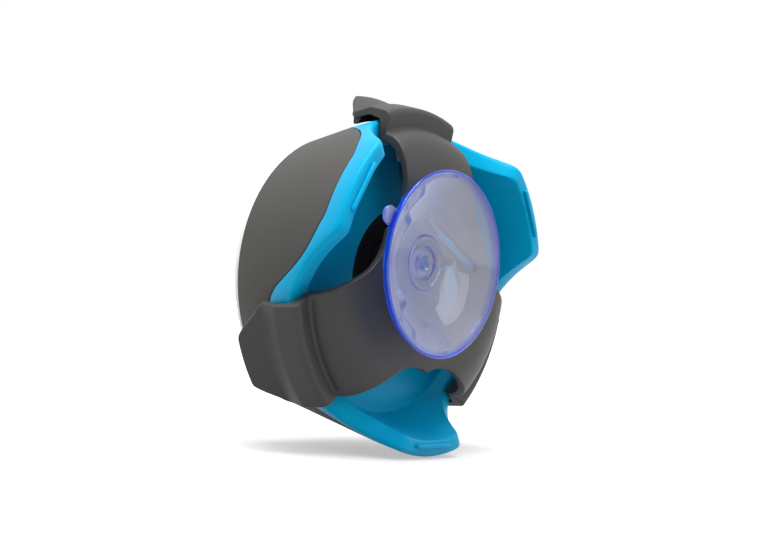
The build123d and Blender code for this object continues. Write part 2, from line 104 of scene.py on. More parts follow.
HUB_RADIUS = 28.0            # flat middle of the cradle
HUB_FACE = -3.6
SHEET = 1.9                  # cradle's wall
ARM_START = 26.5             # the hub's straight edges, where the arms grow out of it
ARM_ROUND = 33.0             # from here out an arm's rows follow circles about the pod
CREASE = (42.2, -13.0)
SHOULDER = (47.9, -12.0)
RIDGE = (49.3, -19.3)
TAB_BASE = (48.0, -24.8)
TAB_TIP = (51.7, -31.4)
ARM_HALF = 15.5
SIDE_FRONT = TAB_BASE[1] - 0.6
ARM_HALF_BY_LEVEL = (         # half width of the side wall and the tab, from its tip up
    (TAB_TIP[1], 6.6), (TAB_TIP[1] + 0.12, 7.4), (TAB_TIP[1] + 0.35, 8.0),
    (TAB_TIP[1] + 0.8, 8.6), (TAB_TIP[1] + 1.6, 9.6), (SIDE_FRONT - 1.2, 13.0),
    (SIDE_FRONT, 14.6), (SIDE_FRONT + 0.8, 15.1), (CREASE[1], 15.2),
)
EDGE_ROUND = 0.42            # radius that the cradle's edges are rounded to
HOOK_LEVEL, HOOK_HEIGHT, HOOK_INNER, HOOK_HALF = -26.0, 1.6, 44.4, 13.9
WINDOW_INNER, CUSP, SCALLOP_HALF = 24.1, 1.3, 6.4
KEY_ANGLE = -25.0            # keyhole's line, from the pod's axis to the suction cup's
KEY_RADIUS, KEY_OFFSET, NECK_SLOT = 7.4, 6.0, 4.2
CUP_OFFSET = 11.1
STRAP_OFFSET, STRAP_LENGTH, STRAP_WIDTH = 12.3, 31.0, 2.8

CUP_RADIUS = 25.5
CUP_RIM = 7.4
NECK_RADIUS, NECK_START, NECK_END = 3.9, -2.4, -6.4
HEAD_RADIUS, HEAD_END = 6.2, -10.0
CUP_PROFILE = (               # from the bowl's middle out to the rim and back behind it
    (0, -0.9, 0, 1), (1.7, -0.9, 0.3, 2), (2.3, 0.05, 0.3, 3), (3.3, 0.05, 0.3, 2),
    (4.1, -0.75, 0.4, 3), (4.7, 0.1, 0.3, 3), (6.6, 0.0, 0.4, 2), (7.2, 0.3, 0.3, 3),
    (7.9, -0.05, 0.5, 3), (13.0, 0.8, 8.0, 5), (18.5, 2.8, 12.0, 6), (23.3, 5.5, 5.0, 5),
    (24.5, 7.2, 0.5, 3), (25.1, CUP_RIM, 0.3, 3), (CUP_RADIUS, 7.1, 0.3, 3),
    (24.6, 4.9, 2.0, 4), (19.5, 1.4, 10.0, 6), (13.0, -1.3, 6.0, 5),
    (9.0, NECK_START, 1.5, 4), (0, NECK_START, 0, 1),
)
CUP_RING_PAINTED_REFRACTION = (                 # moulded rings, with bands painted bluer over them as painted refraction: radius, half width, colour
    (7.5, 0.45, (120, 140, 245)), (4.5, 0.5, (110, 130, 240)), (1.2, 1.2, (70, 120, 240)),
)
CUP_RIM_BAND = (-1.5, -0.6, 0.1, 0.6)   # where the rim's deep blue starts, fills and ends
CUP_PAINTED_REFLECTION_SPAN = (-16 * MM, 22 * MM)          # across the cup, from the vinyl's own pale tone to a painted reflection that turns one side bluer
PULL_REACH, PULL_WIDTH, PULL_HALF_THICK, PULL_DROP = 3.6, 5.0, 0.65, 1.9

DOME_RADIUS, DOME_EDGE, DOME_RISE, DOME_WALL = 39.1, 1.7, 4.6, 1.8
DOME_FOOT = (34.6, 36.4)     # ring that stands inside the shell's lip

ARMS = {"top": -90.0, "left": 30.0, "right": 150.0}
LOBES = (90.0, -30.0, 210.0)
SEAM_BY_TURN = (              # seam's level by degrees from the middle of a lobe
    (0.0, -7.0), (10.0, -7.1), (17.0, -9.0), (23.0, -11.4), (28.0, -14.8),
    (33.0, -19.6), (37.0, -23.4), (41.0, -25.6), (45.0, -26.2), (60.0, -26.2),
)
NOTCH_BY_SIDE = (             # tray rim's level by distance sideways from the middle of an arm
    (0.0, -16.2), (14.5, -16.2), (16.5, -15.5), (20.5, -13.1), (24.3, -10.1),
    (27.0, -7.2), (29.5, -4.0), (31.4, -1.3), (32.8, -0.1), (34.5, 0.0), (60.0, 0.0),
)

# ---------------------------------------------------------------- places, from the frame
pad_low, pad_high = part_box("contact_pad")
pod_x = (pad_low.x + pad_high.x) / 2
pod_z = (pad_low.z + pad_high.z) / 2
rim_y = pad_high.y - PAD_LEVEL * MM
STAND = Matrix.Translation((pod_x, rim_y, pod_z)) @ Matrix((
    (MM, 0, 0, 0),
    (0, 0, MM, 0),
    (0, -MM, 0, 0),
    (0, 0, 0, 1),
))
key_turn = math.radians(KEY_ANGLE)
CUP_X = CUP_OFFSET * math.cos(key_turn)
CUP_Y = CUP_OFFSET * math.sin(key_turn)
CUP_MIDDLE = (CUP_X, CUP_Y)


# ---------------------------------------------------------------- drawing helpers
def through(table, x):
    """Smooth curve without overshoot through (x, y) pairs."""
    if x <= table[0][0]:
        return table[0][1]
    if x >= table[-1][0]:
        return table[-1][1]
    slopes = [(b[1] - a[1]) / (b[0] - a[0]) for a, b in zip(table, table[1:])]

    def tangent(index):
        if index == 0 or index == len(slopes) or slopes[index - 1] * slopes[index] <= 0:
            return 0.0
        before, after = slopes[index - 1], slopes[index]
        return 2 * before * after / (before + after)

    for index, (a, b) in enumerate(zip(table, table[1:])):
        if x <= b[0]:
            width = b[0] - a[0]
            t = (x - a[0]) / width
            return (
                a[1] * (2 * t**3 - 3 * t**2 + 1)
                + b[1] * (3 * t**2 - 2 * t**3)
                + width * tangent(index) * (t**3 - 2 * t**2 + t)
                + width * tangent(index + 1) * (t**3 - t**2)
            )


def arc_corner(before, corner, after, radius, steps):
    """Points of the arc that rounds one corner."""
    corner = Vector(corner)
    inward, outward = Vector(before) - corner, Vector(after) - corner
    reach = 0.48 * min(inward.length, outward.length)
    inward.normalize()
    outward.normalize()
    half = inward.angle(outward, math.pi) / 2
    if half > math.radians(89.0) or half < math.radians(1.0):
        start, end = corner + inward * 0.1, corner + outward * 0.1
        return [tuple(start.lerp(end, step / steps)) for step in range(steps + 1)]
    reach = min(reach, radius / math.tan(half))
    radius = reach * math.tan(half)
    middle = corner + (inward + outward).normalized() * (radius / math.sin(half))
    first, last = corner + inward * reach - middle, corner + outward * reach - middle
    sweep = first.angle_signed(last)
    points = []
    for step in range(steps + 1):
        turn = Matrix.Rotation(-sweep * step / steps, 2)
        points.append(tuple(middle + turn @ first))
    return points


def rounded(corners, closed):
    """Outline through (x, y, radius, steps) corners, each turned into an arc of its own radius."""
    outline = []
    count = len(corners)
    for index, (x, y, radius, steps) in enumerate(corners):
        if radius == 0 or (not closed and index in (0, count - 1)):
            outline.append((x, y))
            continue
        before, after = corners[index - 1], corners[(index + 1) % count]
        outline += arc_corner(before[:2], (x, y), after[:2], radius, steps)
    return outline


def along(angle, out, across=0.0):
    """Point at a distance out along a direction and across from it."""
    c, s = math.cos(math.radians(angle)), math.sin(math.radians(angle))
    return (out * c - across * s, out * s + across * c)


def link_mesh(name, bm):
    """Object of a drawn mesh, left where it was drawn."""
    mesh = bpy.data.meshes.new(name)
    bm.to_mesh(mesh)
    bm.free()
    piece = bpy.data.objects.new(name, mesh)
    bpy.context.scene.collection.objects.link(piece)
    return piece


def new_piece(name, bm, sharp=38.0):
    """Finished piece: faces outwards, smooth but for sharp edges, standing in its place."""
    bmesh.ops.recalc_face_normals(bm, faces=bm.faces)
    for face in bm.faces:
        face.smooth = True
    for edge in bm.edges:
        if len(edge.link_faces) == 2 and edge.calc_face_angle(0.0) > math.radians(sharp):
            edge.smooth = False
    piece = link_mesh(name, bm)
    piece.data.transform(STAND)
    return piece


def join_rows(bm, rows):
    """Quads between closed rows of equally many corners."""
    for row, following in zip(rows, rows[1:]):
        for index in range(len(row)):
            after = (index + 1) % len(row)
            bm.faces.new((row[index], row[after], following[after], following[index]))


def solid_bar(bm, rows):
    """Solid along closed rows of corners, capped at both ends."""
    join_rows(bm, rows)
    bm.faces.new(rows[0])
    bm.faces.new(list(reversed(rows[-1])))


def pod_ring(bm, section_at, columns=360):
    """Ring about the pod's axis whose (radius, level) section follows the direction."""
    rows = []
    for column in range(columns):
        angle = 360.0 * column / columns
        from_lobe = abs((angle - LOBES[0] + 60.0) % 120.0 - 60.0)
        c, s = math.cos(math.radians(angle)), math.sin(math.radians(angle))
        rows.append([bm.verts.new((r * c, r * s, level)) for r, level in section_at(from_lobe)])
    join_rows(bm, rows + rows[:1])


def turned(bm, path, middle=(0.0, 0.0), columns=144):
    """Solid turned about a line along the pod's axis, from a (radius, level) path."""
    rings = []
    for radius, level in path:
        if radius < 1e-6:
            rings.append([bm.verts.new((middle[0], middle[1], level))])
            continue
        ring = []
        for column in range(columns):
            angle = 2 * math.pi * column / columns
            x = middle[0] + radius * math.cos(angle)
            y = middle[1] + radius * math.sin(angle)
            ring.append(bm.verts.new((x, y, level)))
        rings.append(ring)
    for ring, following in zip(rings, rings[1:]):
        for column in range(columns):
            after = (column + 1) % columns
            if len(ring) == 1:
                bm.faces.new((ring[0], following[column], following[after]))
            elif len(following) == 1:
                bm.faces.new((ring[column], following[0], ring[after]))
            else:
                bm.faces.new((ring[column], following[column], following[after], ring[after]))


def finished_mesh(piece):
    """Apply a piece's modifiers, so that its mesh is plain."""
    graph = bpy.context.evaluated_depsgraph_get()
    mesh = bpy.data.meshes.new_from_object(piece.evaluated_get(graph))
    piece.modifiers.clear()
    piece.data = mesh
    return piece


def weigh_normals(piece):
    """Let large faces rule the shading beside small rounded edges."""
    weigh = piece.modifiers.new("weigh", "WEIGHTED_NORMAL")
    weigh.keep_sharp = True
    weigh.weight = 60
    return finished_mesh(piece)


# ---------------------------------------------------------------- pod: tray and shell
def skin(level):
    """Radius of the pod's outside at a level."""
    for (low, narrow), (high, wide) in zip(SKIN, SKIN[1:]):
        if level <= high:
            return narrow + (wide - narrow) * (level - low) / (high - low)
    return SKIN[-1][1]


def petal(level):
    """Radius of a lobe's inner face at a level."""
    rise = PETAL_TOP - FLOOR_LEVEL
    return FLOOR_RADIUS + (RIM_INNER - FLOOR_RADIUS) * (level - FLOOR_LEVEL) / rise


def rim_level(from_arm, share):
    """Level of the tray's rim in a direction, at a share of the way across it outwards."""
    level = 0.0
    for _ in range(3):
        radius = petal(level) + (skin(level) - petal(level)) * share
        level = through(NOTCH_BY_SIDE, radius * math.sin(math.radians(from_arm)))
    return level


def tray_section(from_lobe):
    """Outline of the tray, cut at an angle from the middle of a lobe."""
    seam = through(SEAM_BY_TURN, from_lobe) + SEAM_GAP
    inner = rim_level(60.0 - from_lobe, 0.55)
    outer = rim_level(60.0 - from_lobe, 0.85)
    step = seam + SEAM_LAP
    behind = min(outer, inner) - WALL
    return rounded([
        (PAD_RADIUS, PAD_LEVEL, 0.4, 2),
        (FLOOR_RADIUS - 0.2, FLOOR_LEVEL + 0.1, 1.1, 5),
        (petal(inner), inner, 0.9, 4),
        (skin(outer), outer, 1.3, 5),
        (skin(seam), seam, 0.3, 2),
        (skin(seam) - TRAY_LAP, seam, 0, 1),
        (skin(step) - TRAY_LAP, step, 0, 1),
        (skin(step) - WALL, step, 0, 1),
        (skin(outer) - WALL, behind, 0, 1),
        (petal(inner) + 1.2, behind - 0.3, 0, 1),
        (FLOOR_RADIUS + 1.0, FLOOR_LEVEL - WALL, 0, 1),
        (PAD_RADIUS, PAD_LEVEL - WALL, 0, 1),
    ], closed=True)


def shell_section(from_lobe):
    """Outline of the shell, cut at an angle from the middle of a lobe."""
    seam = through(SEAM_BY_TURN, from_lobe) - SEAM_GAP
    tongue = seam + SEAM_LAP
    lip_back = SHELL_FRONT + LIP_DEPTH
    return rounded([
        (skin(seam) - SHELL_LAP, seam, 0, 1),
        (skin(seam), seam, 0.35, 3),
        (skin(SHELL_FRONT), SHELL_FRONT, 0.9, 4),
        (LIP_RADIUS, SHELL_FRONT, 0.3, 2),
        (LIP_RADIUS, lip_back, 0, 1),
        (skin(lip_back) - WALL, lip_back, 0, 1),
        (skin(seam - 4.0) - WALL, seam - 4.0, 0, 1),
        (skin(tongue) - WALL, tongue, 0, 1),
        (skin(tongue) - SHELL_LAP, tongue, 0, 1),
    ], closed=True)


def sink_screws(tray):
    """Sink a counterbore into the tray's floor over each case screw."""
    deep = FLOOR_LEVEL - 10.0
    path = [(0, deep), (SCREW_SINK, deep), (SCREW_SINK, 0.0), (0, 0.0)]
    bm = bmesh.new()
    for angle in ARMS.values():
        turned(bm, path, along(angle, SCREW_CIRCLE), columns=32)
    cutter = new_piece("screw_sinks", bm)
    cut = tray.modifiers.new("sinks", "BOOLEAN")
    cut.operation = "DIFFERENCE"
    cut.solver = "EXACT"
    cut.object = cutter
    finished_mesh(tray)
    bpy.data.objects.remove(cutter)


def make_tray():
    """Blue base with three lobes, and a notch for each arm between them."""
    bm = bmesh.new()
    pod_ring(bm, tray_section)
    tray = new_piece("tray", bm)
    sink_screws(tray)
    tray.data.materials.append(blue_plastic())
    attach(tray, "pod")
    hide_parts("tray_base")


def make_shell():
    """Grey tapered body that the dome is set in."""
    bm = bmesh.new()
    pod_ring(bm, shell_section)
    shell = new_piece("shell", bm)
    shell.data.materials.append(grey_plastic())
    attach(shell, "pod")
    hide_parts("upper_shell")


def grip_rib(bm):
    """Raised bar with a rounded top and ends, along Y, with its foot just under level 0."""
    straight = 0.88
    rows = []
    for share in (-1.0, -0.985, -0.94, -straight, -0.5, 0.0, 0.5, straight, 0.94, 0.985, 1.0):
        past = max(0.0, (abs(share) - straight) / 0.12)
        shrink = math.sqrt(max(0.0, 1 - past**2)) * 0.55 + 0.45
        half, top = RIB_WIDTH / 2 * shrink, RIB_HEIGHT * shrink
        outline = rounded([
            (-half, -RIB_FOOT, 0, 1),
            (half, -RIB_FOOT, 0, 1),
            (half, top, 0.42, 4),
            (-half, top, 0.42, 4),
        ], closed=True)
        rows.append([bm.verts.new((x, share * RIB_LENGTH / 2, z)) for x, z in outline])
    solid_bar(bm, rows)


def node_group(name, kind, inputs, outputs):
    """Empty node tree with named inputs and outputs, and its input and output nodes."""
    group = bpy.data.node_groups.new(name, kind)
    for label, socket_type, *start in inputs:
        socket = group.interface.new_socket(label, in_out="INPUT", socket_type=socket_type)
        for value in start:
            socket.default_value = value
    for label, socket_type in outputs:
        group.interface.new_socket(label, in_out="OUTPUT", socket_type=socket_type)
    return group, group.nodes.new("NodeGroupInput"), group.nodes.new("NodeGroupOutput")


def ring_of_copies(material):
    """Geometry nodes that set copies of a mesh on a circle, each facing outwards."""
    tree, given, out = node_group(
        "ring_of_copies",
        "GeometryNodeTree",
        [
            ("Piece", "NodeSocketGeometry"),
            ("Count", "NodeSocketInt", 3),
            ("Radius", "NodeSocketFloat", 1.0),
            ("First Turn", "NodeSocketFloat", 0.0),
        ],
        [("Ring", "NodeSocketGeometry")],
    )
    nodes, links = tree.nodes, tree.links
    circle = nodes.new("GeometryNodeMeshCircle")
    links.new(given.outputs["Count"], circle.inputs["Vertices"])
    links.new(given.outputs["Radius"], circle.inputs["Radius"])
    place = nodes.new("GeometryNodeInputPosition")
    facing = nodes.new("FunctionNodeAlignEulerToVector")
    facing.axis = "X"
    links.new(place.outputs[0], facing.inputs["Vector"])
    copies = nodes.new("GeometryNodeInstanceOnPoints")
    links.new(circle.outputs["Mesh"], copies.inputs["Points"])
    links.new(given.outputs["Piece"], copies.inputs["Instance"])
    links.new(facing.outputs[0], copies.inputs["Rotation"])
    spin = nodes.new("ShaderNodeCombineXYZ")
    links.new(given.outputs["First Turn"], spin.inputs["Z"])
    turn = nodes.new("GeometryNodeTransform")
    links.new(copies.outputs["Instances"], turn.inputs["Geometry"])
    links.new(spin.outputs[0], turn.inputs["Rotation"])
    whole = nodes.new("GeometryNodeRealizeInstances")
    links.new(turn.outputs[0], whole.inputs[0])
    paint = nodes.new("GeometryNodeSetMaterial")
    paint.inputs["Material"].default_value = material
    links.new(whole.outputs[0], paint.inputs["Geometry"])
    links.new(paint.outputs[0], out.inputs["Ring"])
    return tree


def make_grip_ribs():
    """Finger rib on the rim of each lobe."""
    bm = bmesh.new()
    grip_rib(bm)
    bmesh.ops.recalc_face_normals(bm, faces=bm.faces)
    for face in bm.faces:
        face.smooth = True
    ribs = link_mesh("grip_ribs", bm)
    ring = ribs.modifiers.new("ring", "NODES")
    ring.node_group = ring_of_copies(blue_plastic())
    values = {"Count": len(LOBES), "Radius": RIB_RADIUS, "First Turn": math.radians(LOBES[0])}
    for item in ring.node_group.interface.items_tree:
        if item.name in values:
            ring[item.identifier] = values[item.name]
    finished_mesh(ribs)
    ribs.data.transform(STAND)
    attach(ribs, "pod")


def make_dome():
    """Milky dome with a stepped rim, and a foot inside the shell's lip."""
    front = SHELL_FRONT - DOME_EDGE
    lens = DOME_RADIUS - 0.75
    foot_inner, foot_outer = DOME_FOOT
    foot_level = SHELL_FRONT + LIP_DEPTH
    crown = []
    inner_crown = []
    steps = 12
    for step in range(1, steps + 1):
        share = step / steps
        sag = DOME_RISE * (1 - (1 - share) ** 2) * 0.97
        crown.append((lens * (1 - share), front + 0.1 - sag, 0, 1))
        inner_crown.append(((foot_inner - 0.6) * (1 - share), front + DOME_WALL - sag, 0, 1))
    path = rounded([
        (0, crown[-1][1], 0, 1),
        *reversed(crown[:-1]),
        (lens, front + 0.1, 0.5, 3),
        (lens - 0.1, front + 0.5, 0, 1),
        (lens + 0.35, front + 0.5, 0, 1),
        (DOME_RADIUS, front + 0.55, 0.35, 3),
        (DOME_RADIUS, SHELL_FRONT, 0.2, 2),
        (foot_outer, SHELL_FRONT, 0, 1),
        (foot_outer, foot_level, 0, 1),
        (foot_inner, foot_level, 0, 1),
        (foot_inner - 0.2, front + DOME_WALL, 0, 1),
        *inner_crown[:-1],
        (0, inner_crown[-1][1], 0, 1),
    ], closed=False)
    bm = bmesh.new()
    turned(bm, path, columns=180)
    dome = new_piece("dome", bm)
    dome.data.materials.append(dome_white())
    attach(dome, "pod")
    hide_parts("dome_diffuser")


def make_pad():
    """Charging pad with a rounded edge, a shallow ring in its face and a flange behind."""
    face = PAD_LEVEL - PAD_RECESS
    groove_inner, groove_outer = PAD_GROOVE
    side, flange = PAD_RADIUS - 0.15, PAD_RADIUS + 1.7
    behind = PAD_LEVEL - WALL
    path = rounded([
        (0, face, 0, 1),
        (groove_inner, face, 0, 1),
        (groove_inner + 0.3, face - 0.25, 0.15, 2),
        (groove_outer - 0.3, face - 0.25, 0.15, 2),
        (groove_outer, face, 0, 1),
        (PAD_RADIUS - 1.3, face, 0.5, 3),
        (PAD_RADIUS - 0.3, PAD_LEVEL - 0.1, 0.3, 3),
        (side, face, 0, 1),
        (side, behind, 0, 1),
        (flange, behind - 0.4, 0, 1),
        (flange, behind - 1.4, 0, 1),
        (0, behind - 1.4, 0, 1),
    ], closed=False)
    bm = bmesh.new()
    turned(bm, path, columns=120)
    pad = new_piece("charging_pad", bm)
    pad.data.materials.append(pad_black())
    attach(pad, "pod")
    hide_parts("contact_pad")


# ---------------------------------------------------------------- cradle
def brow(radius, depth=0.0):
    """Level of the cradle's outside, or of its inside one wall deep, out to the crease."""
    share = min(1.0, max(0.0, (radius - HUB_RADIUS) / (CREASE[0] - depth - HUB_RADIUS)))
    return HUB_FACE - depth - (HUB_FACE - CREASE[1]) * (1 - math.sqrt(1 - share**2))


def brow_points(depth):
    """(radius, level) corners of the rounded brow, from where the rows turn round."""
    first = math.asin((ARM_ROUND - HUB_RADIUS) / (CREASE[0] - HUB_RADIUS))
    last = math.radians(78.0)     # short of upright, where the crease takes over
    steps = 9
    points = []
    for step in range(1, steps + 1):
        turn = first + (last - first) * step / steps
        radius = HUB_RADIUS + (CREASE[0] - depth - HUB_RADIUS) * math.sin(turn)
        points.append((radius, brow(radius, depth), 0, 1))
    return points


def tab_points(aside, drop):
    """(radius, level) corners of one side of the flared tab, out to its tip."""
    start = (TAB_BASE[0] + 0.5, TAB_BASE[1] - 0.9)
    points = []
    for share in (0.0, 0.06, 0.12, 0.18, 0.26, 0.42, 0.6, 0.78, 0.9, 0.96, 1.0):
        radius = start[0] + (TAB_TIP[0] - start[0]) * share
        level = start[1] + (TAB_TIP[1] - start[1]) * share
        points.append((radius - aside, level - drop, 0, 1))
    return points


def arm_outside():
    """(radius, level) points down an arm's outside, to its tab's tip."""
    corners = brow_points(0.0)
    corners += [
        (*CREASE, 1.3, 6),
        (*SHOULDER, 2.0, 7),
        (*RIDGE, 2.6, 4),
        (*TAB_BASE, 1.6, 4),
    ]
    return rounded(corners + tab_points(0.0, 0.0), closed=False)


def arm_inside():
    """The same points on the arm's inside, where its side wall is thicker at the shoulder."""
    corners = brow_points(SHEET)
    corners += [
        (CREASE[0] - 2.3, CREASE[1] - 2.4, 2.4, 6),
        (SHOULDER[0] - 1.9, SHOULDER[1] - 3.8, 0.7, 7),
        (RIDGE[0] - 2.2, RIDGE[1] - 0.1, 1.5, 4),
        (TAB_BASE[0] - 1.9, TAB_BASE[1] - 0.3, 2.0, 4),
    ]
    return rounded(corners + tab_points(1.5, 0.8), closed=False)


def arm_half_width(radius, level):
    """Half width of an arm, which narrows in a step from its side wall to its tab."""
    return ARM_HALF if radius < CREASE[0] else through(ARM_HALF_BY_LEVEL, level)


def arm_rows(columns):
    """Rows of paired outside and inside (out, across, level) points, from hub to tab."""
    shares = [2 * column / columns - 1 for column in range(columns + 1)]
    rows = []
    lead_rows = 7
    for row in range(lead_rows + 1):
        share = row / lead_rows
        points = []
        for side in shares:
            across = side * ARM_HALF
            bow = ARM_ROUND - math.sqrt(ARM_ROUND**2 - across**2)
            out = ARM_START + (ARM_ROUND - ARM_START) * share - bow * share
            radius = math.hypot(out, across)
            points.append(((out, across, brow(radius)), (out, across, brow(radius, SHEET))))
        rows.append(points)
    for (radius, level), (inner_radius, inner_level) in zip(arm_outside(), arm_inside()):
        points = []
        for side in shares:
            across = side * arm_half_width(radius, level)
            out = math.sqrt(radius**2 - across**2)
            inner_out = math.sqrt(inner_radius**2 - across**2)
            points.append(((out, across, level), (inner_out, across, inner_level)))
        rows.append(points)
    return rows


def window_edge(angle):
    """Hub's edge across one lobe, between two arms: two scallops that meet in a cusp."""
    edge = []
    steps = 9
    for step in range(-steps, steps + 1):
        share = abs(step) / steps
        across = 2 * SCALLOP_HALF * step / steps
        out = WINDOW_INNER + CUSP * (2 * share - 1) ** 2
        edge.append(along(angle, out, across))
    return edge


def key_hole():
    """Outline of the keyhole: a round end that passes the head, and a slot for the neck."""
    outline = []
    meet = math.asin(NECK_SLOT / KEY_RADIUS)
    wide_steps, narrow_steps = 24, 12
    for step in range(wide_steps + 1):
        turn = meet + (2 * math.pi - 2 * meet) * step / wide_steps
        outline.append((KEY_RADIUS * math.cos(turn) - KEY_OFFSET, KEY_RADIUS * math.sin(turn)))
    for step in range(narrow_steps + 1):
        turn = -math.pi / 2 + math.pi * step / narrow_steps
        outline.append((CUP_OFFSET + NECK_SLOT * math.cos(turn), NECK_SLOT * math.sin(turn)))
    return [along(KEY_ANGLE, *point) for point in outline]


def strap_slot(side):
    """Outline of one strap slot, with even points along its straight sides."""
    corners = []
    for x, y in ((-1, -1), (1, -1), (1, 1), (-1, 1)):
        corner = (x * STRAP_LENGTH / 2, side * STRAP_OFFSET + y * STRAP_WIDTH / 2)
        corners.append((*corner, 1.0, 3))
    outline = []
    corners = rounded(corners, closed=True)
    for start, end in zip(corners, corners[1:] + corners[:1]):
        steps = max(1, round(math.dist(start, end) / 1.1))
        outline += [tuple(Vector(start).lerp(Vector(end), step / steps)) for step in range(steps)]
    return [along(KEY_ANGLE, *point) for point in outline]


def inside(point, loop):
    """True where a point lies inside a closed loop."""
    found = False
    x, y = point
    for (ax, ay), (bx, by) in zip(loop, loop[1:] + loop[:1]):
        if (ay > y) != (by > y) and x < ax + (bx - ax) * (y - ay) / (by - ay):
            found = not found
    return found


def hub_outline(columns):
    """Hub's edge all round, along the three arms' starts and the windows between them."""
    outline = []
    for angle in sorted(ARMS.values()):
        for column in range(columns + 1):
            across = ARM_HALF * (2 * column / columns - 1)
            outline.append(along(angle, ARM_START, across))
        outline += window_edge(angle + 60.0)
    return outline


def round_a_hole(hole, guard=0.8):
    """Points just outside a hole, which keep the sheet's triangles small along its edge."""
    points = []
    for before, point, after in zip(hole[-1:] + hole[:-1], hole, hole[1:] + hole[:1]):
        tangent = (Vector(after) - Vector(before)).normalized()
        for side in (-1, 1):
            spot = Vector(point) + side * guard * Vector((tangent.y, -tangent.x))
            if not inside(spot, hole):
                points.append(spot)
    return points


def on_the_bend(outline, clear=0.7):
    """Points on circles near the hub's edge, where its sheet starts to turn down."""
    points = []
    for radius in (HUB_RADIUS, 29.2, 30.2):
        for step in range(180):
            spot = along(step * 2.0, radius)
            if inside(spot, outline) and all(math.dist(spot, p) > clear for p in outline):
                points.append(Vector(spot))
    return points


def over_the_flat(loops, spacing=2.6, clear=1.7):
    """Even points over the flat of the hub, clear of its edge and its holes."""
    points = []
    for row in range(-10, 11):
        for column in range(-10, 11):
            spot = (spacing * (column + 0.5 * (row % 2)), spacing * row * 0.866)
            near = min(math.dist(spot, p) for loop in loops for p in loop)
            if math.hypot(*spot) < ARM_START and near > clear:
                points.append(Vector(spot))
    return points


def fill_hub(bm, inner, columns):
    """Sheet of triangles over the hub, open at the keyhole and the strap slots."""
    loops = [hub_outline(columns), key_hole(), strap_slot(-1), strap_slot(1)]
    points = []
    edges = []
    for loop in loops:
        first = len(points)
        points += [Vector(point) for point in loop]
        edges += [(first + i, first + (i + 1) % len(loop)) for i in range(len(loop))]
    for hole in loops[1:]:
        points += round_a_hole(hole)
    points += on_the_bend(loops[0]) + over_the_flat(loops)
    sliver = 0.002                # twice the area below which a triangle is left out
    made, _, faces, _, _, _ = delaunay_2d_cdt(points, edges, [], 0, 1e-5)
    corners = []
    for point in made:
        corners.append(bm.verts.new((point.x, point.y, brow(point.length))))
        corners[-1][inner] = (point.x, point.y, brow(point.length, SHEET))
    for face in faces:
        a, b, c = (made[i] for i in face)
        if abs((b - a).cross(c - a)) < sliver:
            continue
        middle = (a + b + c) / 3
        if inside(middle, loops[0]) and not any(inside(middle, hole) for hole in loops[1:]):
            bm.faces.new([corners[i] for i in face])
    bmesh.ops.delete(bm, geom=[v for v in bm.verts if not v.link_faces], context="VERTS")


def thicken(bm, inner):
    """Close an outside sheet with the inside that each of its corners is paired with."""
    outside = list(bm.faces)
    rim = [edge for edge in bm.edges if len(edge.link_faces) == 1]
    behind = {corner: bm.verts.new(corner[inner]) for corner in list(bm.verts)}
    for face in outside:
        bm.faces.new([behind[corner] for corner in reversed(face.verts)])
    for edge in rim:
        loop = edge.link_loops[0]
        first, second = loop.vert, loop.link_loop_next.vert
        bm.faces.new((second, first, behind[first], behind[second]))


def cradle_sheet():
    """The whole cradle as one wall with rounded edges, in the drawing frame."""
    columns = 28
    bm = bmesh.new()
    inner = bm.verts.layers.float_vector.new("inner")
    fill_hub(bm, inner, columns)
    rows = arm_rows(columns)
    for angle in ARMS.values():
        placed = []
        for row in rows:
            placed.append([])
            for (out, across, level), (inner_out, inner_across, inner_level) in row:
                corner = bm.verts.new((*along(angle, out, across), level))
                corner[inner] = (*along(angle, inner_out, inner_across), inner_level)
                placed[-1].append(corner)
        for row, following in zip(placed, placed[1:]):
            for column in range(columns):
                after = column + 1
                bm.faces.new((row[column], following[column], following[after], row[after]))
    bmesh.ops.remove_doubles(bm, verts=bm.verts, dist=0.002)
    bmesh.ops.recalc_face_normals(bm, faces=bm.faces)
    up = sum(face.normal.z * face.calc_area() for face in bm.faces)
    if up < 0:
        bmesh.ops.reverse_faces(bm, faces=bm.faces)
    thicken(bm, inner)
    sheet = link_mesh("cradle_sheet", bm)
    edge = sheet.modifiers.new("edge", "BEVEL")
    edge.width = EDGE_ROUND
    edge.segments = 3
    edge.limit_method = "ANGLE"
    edge.angle_limit = math.radians(50.0)
    edge.use_clamp_overlap = False
    return finished_mesh(sheet)


def arm_of(middle):
    """Name of the arm that a point belongs to, or None on the hub."""
    for name, angle in ARMS.items():
        c, s = math.cos(math.radians(angle)), math.sin(math.radians(angle))
        out, across = middle.x * c + middle.y * s, middle.y * c - middle.x * s
        if out > ARM_START and abs(across) < ARM_HALF + 1.5:
            return name
    return None


def close_cut(bm):
    """Cap the open end left where a piece was parted from its neighbour."""
    open_edges = [edge for edge in bm.edges if len(edge.link_faces) == 1]
    caps = bmesh.ops.holes_fill(bm, edges=open_edges, sides=0)["faces"]
    bmesh.ops.triangulate(bm, faces=caps)


def hook_bar(bm, angle):
    """Side wall's front end and the hook that clips over the pod's shell."""
    wall, top = TAB_BASE[0], TAB_BASE[1] + 1.2
    ledge = HOOK_LEVEL + HOOK_HEIGHT
    section = rounded([
        (wall - 1.0, top, 0, 1),
        (wall - 0.6, HOOK_LEVEL + 0.4, 0.3, 3),
        (wall - 1.2, HOOK_LEVEL, 0.3, 3),
        (HOOK_INNER, HOOK_LEVEL, 0.5, 3),
        (HOOK_INNER, ledge, 0.4, 3),
        (wall - 2.0, ledge + 0.9, 0.6, 3),
        (wall - 2.0, top, 0, 1),
    ], closed=True)
    steps = 18
    rows = []
    for step in range(steps + 1):
        across = HOOK_HALF * (2 * step / steps - 1)
        row = []
        for radius, level in section:
            out = math.sqrt(radius**2 - across**2)
            row.append(bm.verts.new((*along(angle, out, across), level)))
        rows.append(row)
    solid_bar(bm, rows)


